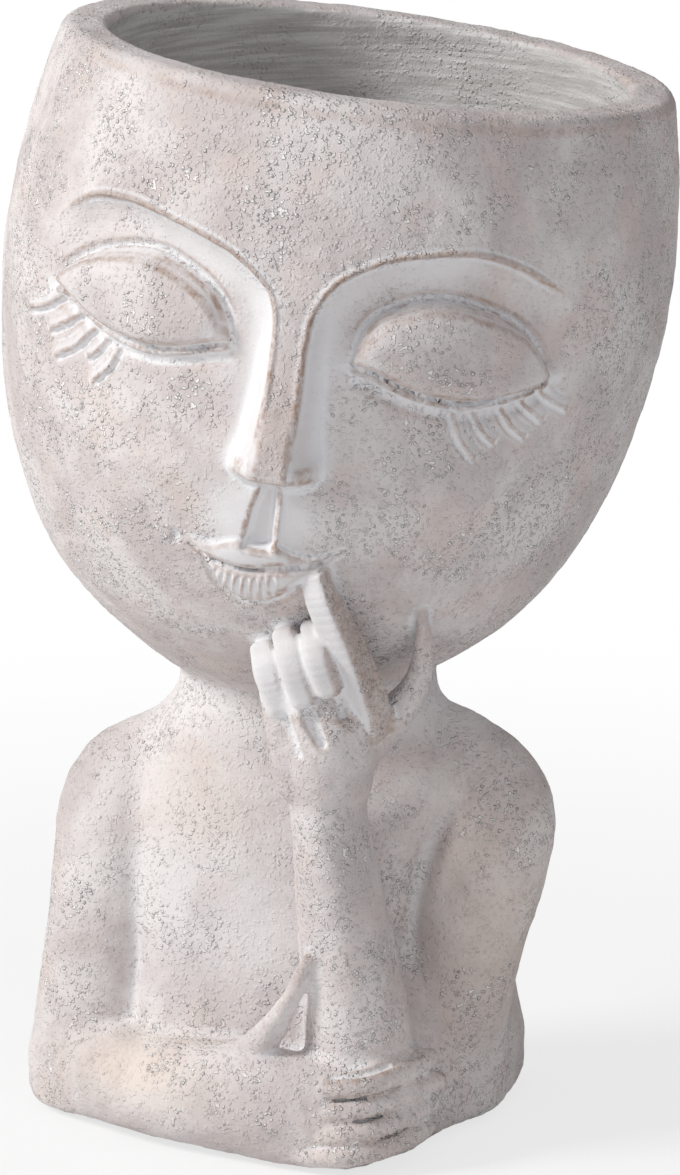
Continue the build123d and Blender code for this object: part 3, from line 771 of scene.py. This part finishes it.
def lattice_values(field, low, step, counts, coarse=4):
    """Values of a field on a lattice, worked out only near its surface."""
    starts = [np.arange(0, count + coarse, coarse) for count in counts]
    rough = np.stack(np.meshgrid(*starts, indexing="ij"), -1)
    rough_values = in_parts(field, low + step * rough.reshape(-1, 3)).reshape(rough.shape[:3])
    values = rough_values
    for axis, count in enumerate(counts):
        order = np.clip((np.arange(count) + coarse // 2) // coarse, 0, values.shape[axis] - 1)
        values = np.take(values, order, axis=axis)
    close = np.argwhere(np.abs(values) < 1.2 * coarse * step)
    values[tuple(close.T)] = in_parts(field, low + step * close)
    return values


def surface_net(field, low, high, step):
    """Points and quads on the zero level of a field."""
    low, high = np.array(low, float), np.array(high, float)
    counts = np.ceil((high - low) / step).astype(int) + 1
    values = lattice_values(field, low, step, counts)
    inside = values < 0
    corners = np.array(list(np.ndindex(2, 2, 2)))
    span = tuple(count - 1 for count in counts)
    tally = 0
    for corner in corners:
        place = tuple(slice(start, start + count) for start, count in zip(corner, span))
        tally = tally + inside[place].astype(int)
    cells = np.argwhere((tally > 0) & (tally < 8))
    held = np.stack([values[tuple((cells + corner).T)] for corner in corners], 1)
    total, crossings = np.zeros((len(cells), 3)), np.zeros(len(cells))
    pairs = [(a, b) for a in range(8) for b in range(a, 8) if abs(corners[a] - corners[b]).sum() == 1]
    for first, second in pairs:
        a, b = held[:, first], held[:, second]
        crossed = (a < 0) != (b < 0)
        share = np.where(crossed, a / np.where(crossed, a - b, 1), 0)[:, None]
        total += np.where(crossed[:, None], corners[first] + share * (corners[second] - corners[first]), 0)
        crossings += crossed
    points = low + step * (cells + total / crossings[:, None])
    number = np.full(span, -1)
    number[tuple(cells.T)] = np.arange(len(cells))
    quads = []
    for axis in range(3):
        side, back = (np.eye(3, dtype=int)[(axis + turn) % 3] for turn in (1, 2))
        ahead = np.roll(inside, -1, axis=axis)
        for leaving in (True, False):
            edges = np.argwhere((inside == leaving) & (ahead != leaving))
            edges = edges[edges[:, axis] < counts[axis] - 1]
            ring = [edges - side - back, edges - back, edges, edges - side]
            if not leaving:
                ring = ring[::-1]
            quads.append(np.stack([number[tuple(cell.T)] for cell in ring], 1))
    return points, np.vstack(quads)


def slopes(field, points, step=0.2):
    """Value and slope of a field."""
    value = in_parts(field, points)
    slope = np.stack([in_parts(field, points + step * axis) - value for axis in np.eye(3)], 1) / step
    return value, slope


def settle(field, points, reach):
    """Points moved on to the zero level of a field."""
    value, slope = slopes(field, points)
    steep = np.maximum((slope ** 2).sum(1), 0.3)
    for last in (False, True):
        points = points - slope * np.clip(value / steep, -reach, reach)[:, None]
        if not last:
            value = in_parts(field, points)
    return points


def rows_of(items, name):
    """Three numbers for each of a mesh's points or faces, as rows."""
    flat = np.empty(len(items) * 3)
    items.foreach_get(name, flat)
    return flat.reshape(-1, 3)


def mesh_points(mesh):
    """A mesh's points in millimetres."""
    return rows_of(mesh.vertices, "co") / MM


def set_points(mesh, points):
    """Puts rows of millimetres back into a mesh."""
    mesh.vertices.foreach_set("co", (points * MM).astype(np.float32).ravel())
    mesh.update()


def subdivide(mesh, chosen):
    """Cuts the chosen faces in four."""
    work = bmesh.new()
    work.from_mesh(mesh)
    work.faces.ensure_lookup_table()
    edges = {edge for index in np.flatnonzero(chosen) for edge in work.faces[index].edges}
    bmesh.ops.subdivide_edges(work, edges=list(edges), cuts=1, use_grid_fill=True)
    work.to_mesh(mesh)
    work.free()
    mesh.update()


def detail(points):
    """How often the mesh is cut finer at points: 0, 1 or 2 times."""
    radius, turn, depth = head_place(points)
    x, y, z = points.T
    outer = egg.distance(radius, depth) > -5.5
    front = outer & (np.abs(turn) < radians(66)) & (depth > 14) & (depth < 120) & (y < 0)
    rim = np.abs(depth) < 6
    hand = (z > 78) & (z < 132) & (y < -30) & (x > -14) & (x < 28)
    folded = (z < 50) & (y < -22) & (x > -26) & (x < 30)
    arms = (z < 96) & (y < 0)
    level = (front | rim | hand | folded | arms).astype(int)
    busy = front & (face.read(face.busy, turn, depth) > 0.5)
    return level + (busy | hand | (folded & (x > -16) & (z > 2)))


def cast_mesh(step):
    """The whole casting as one closed mesh, finer where it is carved."""
    boxes = np.array([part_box(name) for name in frame["nodes"]]) / MM
    points, quads = surface_net(casting, boxes.min((0, 1)) - MARGIN, boxes.max((0, 1)) + MARGIN, step)
    mesh = bpy.data.meshes.new("casting")
    mesh.from_pydata((settle(casting, points, step) * MM).tolist(), [], quads.tolist())
    for level in (1, 2):
        before = len(mesh.vertices)
        subdivide(mesh, detail(rows_of(mesh.polygons, "center") / MM) >= level)
        points = mesh_points(mesh)
        points[before:] = settle(casting, points[before:], step / 2 ** level)
        set_points(mesh, points)
    return mesh


def set_layer(mesh, name, values):
    """A value for each point that the materials read."""
    layer = mesh.attributes.new(name, "FLOAT", "POINT")
    layer.data.foreach_set("value", np.clip(values, 0, 1).astype(np.float32))


def casting_layers(mesh):
    """Where the casting is worn, hollow, trowelled smooth, tinted or inside the bowl, and where shade and
    highlight are painted on.
    """
    points = mesh_points(mesh)
    radius, turn, depth = head_place(points)
    skin = egg.distance(radius, depth)
    x, y, z = points.T
    carved = np.flatnonzero(detail(points) > 0)
    bend = np.zeros(len(points))
    for step in np.vstack((-np.eye(3), np.eye(3))):
        bend[carved] += in_parts(casting, points[carved] + step)
    on_face = (skin > -5.5) & (y < 0) & (depth > 10)
    patchy = 0.5 + 0.5 * noise(points, 5.0, 3)
    # The face's sheet holds real rubbed edges on the brows and painted shade on the nose and lips, and both
    # go into the brown
    crest = np.where(on_face, face.read(face.edge_wear_and_shade, turn, depth), 0)
    wear_and_shade = np.clip((bend - 0.30) / 0.75, 0, 1) * (0.35 + 0.8 * patchy) + 0.9 * crest * (0.4 + 0.7 * patchy)
    inside = ease((-skin - 5.0) / 2) * (depth > 2) * (z > POLE[2])
    smooth = np.where(on_face, face.read(face.smooth, turn, depth), 0)
    chest = blot((x, -18, 20), (z, 52, 26)) * (y < -8)
    neck = ease((100 - z) / 12) * ease((z - 80) / 8) * (y > -28)
    smooth = np.maximum(smooth, 0.55 * chest + (0.3 + 0.4 * ease((x + 5) / 15)) * neck)
    # Partly the bars' whitewash, partly painted highlight: white on the finger bars, kept off the faces that
    # turn to the right, away from the lamp at the left; it joins the trowelled wash in the smooth layer
    rightward = rows_of(mesh.vertices, "normal")[:, 0]
    bars = bar(points, CURLED_FINGERS[0], CURLED_FACING)
    for rows in CURLED_FINGERS[1:]:
        bars = smooth_min(bars, bar(points, rows, CURLED_FACING), 1.0)
    index = bar(points, INDEX, INDEX_FACING)
    finger_wash_and_highlight = ease(1.2 - np.minimum(bars, index)) * ease((0.45 - rightward) / 0.3)
    smooth = np.maximum(smooth, finger_wash_and_highlight)
    warm = blot((x, -34, 16), (z, 16, 5.5), (y, -22, 16))
    warm += 0.5 * blot((x, -26, 11), (z, 70, 9)) * (y < -5)
    warm += 0.45 * blot((x, 34, 15), (z, 45, 34))
    rim = bump(depth - 1.2, 1.7) * ease(skin + 2.4) * ease((x + 55) / 20)
    wear_and_shade = np.maximum(wear_and_shade, 0.6 * rim * (0.3 + patchy))
    # Painted shade: brown on the index finger's faces that turn to the right, away from the lamp at the left
    wear_and_shade = np.maximum(wear_and_shade, 0.7 * ease(1.2 - index) * ease((rightward - 0.35) / 0.3))
    wear_and_shade *= 1 - 0.8 * finger_wash_and_highlight
    cave = blot((x, -2.5, 4), (z, 33, 7)) * (y < -28)
    hollow = np.clip((-bend - 0.12) / 0.5, 0, 1) * (1 - cave)
    layers = {"wear_and_shade": wear_and_shade, "hollow": hollow, "smooth": smooth, "inside": inside, "warm": warm}
    for name, values in layers.items():
        set_layer(mesh, name, values)
    return smooth, inside


def roughen(mesh, smooth, inside):
    """The uneven skin of a hand-finished casting."""
    points = mesh_points(mesh)
    swell = 0.16 * noise(points, 9.0, 5) + 0.10 * noise(points, 3.6, 7)
    grit = 0.11 * noise(points, 1.5, 11) * (1 - smooth)
    strokes = 0.16 * noise(points * (0.07, 0.07, 1.0), 2.2, 13) * inside
    height = swell * (1 - 0.5 * smooth) + grit + strokes
    lifted = points + rows_of(mesh.vertices, "normal") * height[:, None]
    lifted[:, 2] = np.maximum(lifted[:, 2], SOLE)
    set_points(mesh, np.clip(lifted, np.array(cad_low) / MM + BOX_GAP, np.array(cad_high) / MM - BOX_GAP))


def feed(tree, node, values):
    """A node with its inputs joined to sockets or set to numbers."""
    for key, value in values.items():
        if isinstance(value, bpy.types.NodeSocket):
            tree.links.new(value, node.inputs[key])
        else:
            node.inputs[key].default_value = value
    return node


def add(tree, kind, values={}, **settings):
    """One node of a tree, with its settings and its inputs."""
    made = tree.nodes.new(kind)
    for name, value in settings.items():
        setattr(made, name, value)
    return feed(tree, made, values)


def remap(tree, value, low, high, start=0.0, end=1.0):
    """A value eased from one range into another."""
    values = {"Value": value, "From Min": low, "From Max": high, "To Min": start, "To Max": end}
    return add(tree, "ShaderNodeMapRange", values, interpolation_type="SMOOTHSTEP").outputs["Result"]


def calc(tree, operation, first, second=0.0):
    """Two values put through one sum, kept from 0 to 1."""
    return add(tree, "ShaderNodeMath", {0: first, 1: second}, operation=operation, use_clamp=True).outputs[0]


def times(tree, first, second):
    """Two values multiplied, kept from 0 to 1."""
    return calc(tree, "MULTIPLY", first, second)


def mix(tree, share, first, second):
    """Two colours mixed."""
    return add(tree, "ShaderNodeMix", {0: share, 6: first, 7: second}, data_type="RGBA").outputs[2]


def scaled(tree, place, size):
    """A place multiplied by one size, or by one for each axis."""
    if isinstance(size, tuple):
        return add(tree, "ShaderNodeVectorMath", {0: place, 1: size}, operation="MULTIPLY").outputs[0]
    return add(tree, "ShaderNodeVectorMath", {0: place, "Scale": size}, operation="SCALE").outputs[0]


def relief(tree, shader, height, strength, distance):
    """A shader's normal bent by a height."""
    bumps = add(tree, "ShaderNodeBump", {"Height": height, "Strength": strength, "Distance": distance})
    feed(tree, shader, {"Normal": bumps.outputs["Normal"]})


def layer(tree, name):
    """The values of a mesh's layer."""
    return add(tree, "ShaderNodeAttribute", attribute_name=name).outputs["Fac"]


def speckle(tree, place, scale, detail_count=3.0, roughness=0.55, distortion=0.0):
    """Cloudy noise from 0 to 1."""
    values = {"Vector": place, "Scale": scale, "Detail": detail_count, "Roughness": roughness}
    values["Distortion"] = distortion
    return add(tree, "ShaderNodeTexNoise", values).outputs["Fac"]


def shade(*values):
    """A colour with full alpha."""
    return (*values, 1.0)


def new_group(name, inputs, outputs):
    """An empty shader group with named sockets."""
    tree = bpy.data.node_groups.new(name, "ShaderNodeTree")
    for way, sockets in (("INPUT", inputs), ("OUTPUT", outputs)):
        for label, kind in sockets:
            tree.interface.new_socket(label, in_out=way, socket_type="NodeSocket" + kind)
    return tree, tree.nodes.new("NodeGroupInput").outputs, tree.nodes.new("NodeGroupOutput")


def pitted_skin_group():
    """Cast skin: pits, grains and their height, fading where the surface was trowelled."""
    tree, given, result = new_group(
        "pitted skin", [("Place", "Vector"), ("Smooth", "Float"), ("Size", "Float")],
        [("Height", "Float"), ("Grains", "Float"), ("Pits", "Float")],
    )
    place = scaled(tree, given["Place"], given["Size"])
    lumps = speckle(tree, place, 0.55, 3.0, 0.6)
    cells = add(tree, "ShaderNodeTexVoronoi", {"Vector": place, "Scale": 0.85}).outputs["Distance"]
    picked = remap(tree, speckle(tree, place, 0.33, 2.0, 0.6), 0.45, 0.56)
    rounds = times(tree, remap(tree, cells, 0.42, 0.14), picked)
    dots = speckle(tree, place, 1.15, 1.0, 0.5)
    clusters = remap(tree, speckle(tree, place, 0.060, 3.0, 0.6), 0.40, 0.62)
    rough = calc(tree, "SUBTRACT", 1.0, given["Smooth"])
    amount = times(tree, rough, remap(tree, clusters, 0.0, 1.0, 0.30, 1.0))
    raised = times(tree, rounds, amount)
    specks = times(tree, remap(tree, dots, 0.56, 0.68), amount)
    grains = times(tree, calc(tree, "MAXIMUM", raised, specks), amount)
    pits = times(tree, remap(tree, lumps, 0.40, 0.30), amount)
    height = calc(tree, "ADD", times(tree, raised, 0.40), times(tree, specks, 0.25))
    height = calc(tree, "SUBTRACT", calc(tree, "ADD", height, 0.25), times(tree, pits, 0.20))
    fine = times(tree, speckle(tree, place, 2.6, 2.0, 0.6), 0.08)
    feed(tree, result, {"Height": calc(tree, "ADD", height, fine), "Grains": grains, "Pits": pits})
    return tree


def patchy_wear_and_shade_group():
    """A mask broken up into rubbed patches, for real wear and for the painted shade that rides with it."""
    tree, given, result = new_group(
        "patchy wear", [("Place", "Vector"), ("Mask", "Float"), ("Cover", "Float")], [("Wear and shade", "Float")]
    )
    cloud = speckle(tree, given["Place"], 0.55, 4.0, 0.65, 0.3)
    lifted = calc(tree, "ADD", times(tree, cloud, 0.9), given["Cover"])
    broken = times(tree, given["Mask"], remap(tree, lifted, 0.40, 0.85))
    feed(tree, result, {"Wear and shade": broken})
    return tree


def material(name):
    """A material, its tree, its main shader and places in millimetres."""
    made = bpy.data.materials.new(name)
    made.use_nodes = True
    tree = made.node_tree
    place = scaled(tree, add(tree, "ShaderNodeTexCoord").outputs["Object"], 1 / MM)
    return made, tree, tree.nodes["Principled BSDF"], place


def cement_material(skin_group, wear_and_shade_group):
    """Fine cement under a rubbed whitewash, with painted shade in some of the brown and painted highlight in
    some of the white.
    """
    made, tree, shader, place = material("whitewashed cement")
    smooth, wear_and_shade, hollow = layer(tree, "smooth"), layer(tree, "wear_and_shade"), layer(tree, "hollow")
    inside, warm = layer(tree, "inside"), layer(tree, "warm")
    kept_smooth = calc(tree, "MAXIMUM", smooth, times(tree, inside, 0.6))
    given = {"Place": place, "Smooth": kept_smooth, "Size": 1.0}
    skin = add(tree, "ShaderNodeGroup", given, node_tree=skin_group)
    given = {"Place": place, "Mask": wear_and_shade, "Cover": 0.2}
    rubbed_and_shaded = add(tree, "ShaderNodeGroup", given, node_tree=wear_and_shade_group)
    clouds = remap(tree, speckle(tree, place, 0.045, 5.0, 0.6, 0.4), 0.36, 0.64)
    blushes = remap(tree, speckle(tree, place, 0.07, 3.0, 0.55), 0.50, 0.68)
    colour = mix(tree, clouds, shade(*SHELL_DARK), shade(*SHELL_PALE))
    # The smooth coat also holds painted highlight on the fingers, and the rubbed brown also holds painted
    # shade on the nose, lips and index finger
    coats = (
        (blushes, 0.5, BLUSH), (smooth, 0.65, TROWELLED_WASH_AND_HIGHLIGHT), (hollow, 0.7, POOLED_WASH),
        (warm, 0.65, WARM_WASH), (skin.outputs["Pits"], 0.22, PIT_SHADE),
        (skin.outputs["Grains"], 0.85, GRAIN_WASH), (rubbed_and_shaded.outputs["Wear and shade"], 0.85, BROWN_WEAR_AND_SHADE),
    )
    for mask, strength, coat in coats:
        colour = mix(tree, times(tree, mask, strength), colour, shade(*coat))
    strokes = remap(tree, speckle(tree, scaled(tree, place, (0.05, 0.05, 0.9)), 1.0, 4.0, 0.6), 0.35, 0.68)
    bowl = mix(tree, strokes, shade(*BOWL_DARK), shade(*BOWL_PALE))
    rough = remap(tree, skin.outputs["Height"], 0.2, 0.9, 0.93, 0.80)
    finish = {"Base Color": mix(tree, inside, colour, bowl), "Roughness": rough, "Specular IOR Level": 0.3}
    feed(tree, shader, finish)
    relief(tree, shader, skin.outputs["Height"], 1.0, 0.0015)
    return made


def rubber_material():
    """Dull grey rubber with a little cement dust."""
    made, tree, shader, place = material("stopper rubber")
    dust = remap(tree, speckle(tree, place, 0.35, 5.0, 0.65), 0.48, 0.72, 0.0, 0.6)
    colour = mix(tree, dust, shade(0.055, 0.055, 0.058), shade(0.30, 0.29, 0.28))
    feed(tree, shader, {"Base Color": colour, "Roughness": remap(tree, dust, 0.0, 0.6, 0.48, 0.85)})
    relief(tree, shader, speckle(tree, place, 2.4, 3.0, 0.6), 0.5, 0.0002)
    return made


def felt_material():
    """Pressed grey felt with matted fibres."""
    made, tree, shader, place = material("pad felt")
    fibres = speckle(tree, scaled(tree, place, (1.0, 3.0, 1.0)), 1.6, 4.0, 0.7, 2.0)
    mottled = remap(tree, fibres, 0.35, 0.65)
    colour = mix(tree, mottled, shade(0.16, 0.15, 0.14), shade(0.34, 0.32, 0.30))
    rough = remap(tree, fibres, 0.3, 0.7, 1.0, 0.88)
    feed(tree, shader, {"Base Color": colour, "Roughness": rough, "Sheen Weight": 0.4})
    relief(tree, shader, fibres, 1.0, 0.0004)
    return made


def new_object(name, mesh, finish):
    """A mesh put into the scene with one finish, shaded smooth."""
    made = bpy.data.objects.new(name, mesh)
    bpy.context.scene.collection.objects.link(made)
    mesh.materials.append(finish)
    mesh.polygons.foreach_set("use_smooth", [True] * len(mesh.polygons))
    return made


def felt_pad(name, finish):
    """A felt disc with a soft, slightly squeezed rim, where the frame has it."""
    low, high = (np.array(corner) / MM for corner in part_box(name))
    middle, radius = (low + high) / 2, (high[0] - low[0]) / 2
    sides = 96
    points, quads = [], []
    for share, level in PAD_PROFILE:
        for side in range(sides):
            angle = 2 * pi * side / sides
            fuzz = 1 - 0.006 * (1 + noise(np.array([[side * 1.7, level * 9, middle[0]]]), 1.3, 17)[0])
            reach = radius * share * fuzz
            rise = (high[2] - low[2]) * level
            points.append((middle[0] + reach * cos(angle), middle[1] + reach * sin(angle), low[2] + rise))
    for row in range(len(PAD_PROFILE) - 1):
        for side in range(sides):
            this, after = row * sides + side, row * sides + (side + 1) % sides
            quads.append((after, this, this + sides, after + sides))
    mesh = bpy.data.meshes.new(name + "_felt")
    mesh.from_pydata((np.array(points) * MM).tolist(), [], quads)
    work = bmesh.new()
    work.from_mesh(mesh)
    bmesh.ops.remove_doubles(work, verts=work.verts, dist=PAD_WELD * MM)
    bmesh.ops.recalc_face_normals(work, faces=work.faces)
    work.to_mesh(mesh)
    work.free()
    return new_object(name + "_felt", mesh, finish)


def camera():
    """The camera at the photograph's viewpoint."""
    data = bpy.data.cameras.new("camera")
    data.sensor_fit = "VERTICAL"
    data.sensor_height = 36.0
    data.lens = 221.1
    data.clip_end = 20.0
    made = bpy.data.objects.new("camera", data)
    bpy.context.scene.collection.objects.link(made)
    turn, distance, height = radians(8.0), 1.437, 0.475
    target = Vector((0, 0.0036, 0.112))
    made.location = (distance * sin(turn), 0.0036 - distance * cos(turn), height)
    made.rotation_euler = (target - made.location).to_track_quat("-Z", "Y").to_euler()
    bpy.context.scene.camera = made


def lamp(name, place, size, power, colour):
    """A soft square lamp aimed at the planter."""
    data = bpy.data.lights.new(name, "AREA")
    data.size, data.energy, data.color = size, power, colour
    made = bpy.data.objects.new(name, data)
    made.location = place
    made.rotation_euler = (Vector((0, 0, 0.12)) - Vector(place)).to_track_quat("-Z", "Y").to_euler()
    bpy.context.scene.collection.objects.link(made)


def seen_share(tree):
    """1 on rays that show the background itself or a reflection of it."""
    rays = add(tree, "ShaderNodeLightPath").outputs
    share = calc(tree, "MAXIMUM", rays["Is Camera Ray"], rays["Is Glossy Ray"])
    return calc(tree, "MAXIMUM", share, rays["Is Transmission Ray"])


def floor_sheet(half=4.0, rings=6, sides=48):
    """A flat round sheet."""
    points, faces = [(0.0, 0.0, 0.0)], []
    for ring in range(1, rings + 1):
        for side in range(sides):
            angle = 2 * pi * side / sides
            points.append((half * ring / rings * cos(angle), half * ring / rings * sin(angle), 0.0))
    for side in range(sides):
        faces.append((0, 1 + side, 1 + (side + 1) % sides))
        for ring in range(rings - 1):
            a, b = 1 + ring * sides + side, 1 + ring * sides + (side + 1) % sides
            faces.append((a, a + sides, b + sides, b))
    mesh = bpy.data.meshes.new("floor")
    mesh.from_pydata(points, [], faces)
    return mesh


def studio():
    """White room: even sky, pale floor that keeps the shadow, a lamp at the left and a weak one in front."""
    world = bpy.data.worlds.new("studio")
    bpy.context.scene.world = world
    world.use_nodes = True
    tree = world.node_tree
    colour = mix(tree, seen_share(tree), shade(0.34, 0.34, 0.35), shade(1.0, 1.0, 1.0))
    feed(tree, tree.nodes["Background"], {"Color": colour})
    made, tree, shader, place = material("floor paper")
    feed(tree, shader, {"Base Color": shade(0.86, 0.86, 0.86), "Roughness": 0.9})
    glow = add(tree, "ShaderNodeEmission", {"Color": shade(1, 1, 1), "Strength": 1.0}).outputs[0]
    length = add(tree, "ShaderNodeVectorMath", {0: place}, operation="LENGTH").outputs["Value"]
    far = remap(tree, length, 110.0, 420.0, 0.72, 1.0)
    share = times(tree, seen_share(tree), far)
    blended = add(tree, "ShaderNodeMixShader", {0: share, 1: shader.outputs[0], 2: glow}).outputs[0]
    feed(tree, tree.nodes["Material Output"], {"Surface": blended})
    new_object("floor", floor_sheet(), made)
    lamp("key", (-1.36, -0.72, 1.20), 0.5, 27.0, (1.0, 0.985, 0.965))
    lamp("fill", (0.6, -1.5, 0.22), 1.2, 4.5, (0.97, 0.97, 1.0))
    bpy.context.scene.view_settings.view_transform = "Standard"


camera()
studio()
cement = cement_material(pitted_skin_group(), patchy_wear_and_shade_group())
body_mesh = cast_mesh(FINE_STEP)
smooth_share, inside_share = casting_layers(body_mesh)
roughen(body_mesh, smooth_share, inside_share)
body = new_object("casting", body_mesh, cement)
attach(body, "casting")
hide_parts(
    "head_pot", "bust", "raised_forearm", "raised_hand", "index_finger", "folded_forearm", "folded_hand"
)
felt = felt_material()
for pad_name in sorted(frame["nodes"]):
    if pad_name.startswith("foot_pad"):
        pad = felt_pad(pad_name, felt)
        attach(pad, "casting")
        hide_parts(pad_name)
stopper = frame["nodes"]["drain_stopper"]
stopper.data.materials.clear()
stopper.data.materials.append(rubber_material())
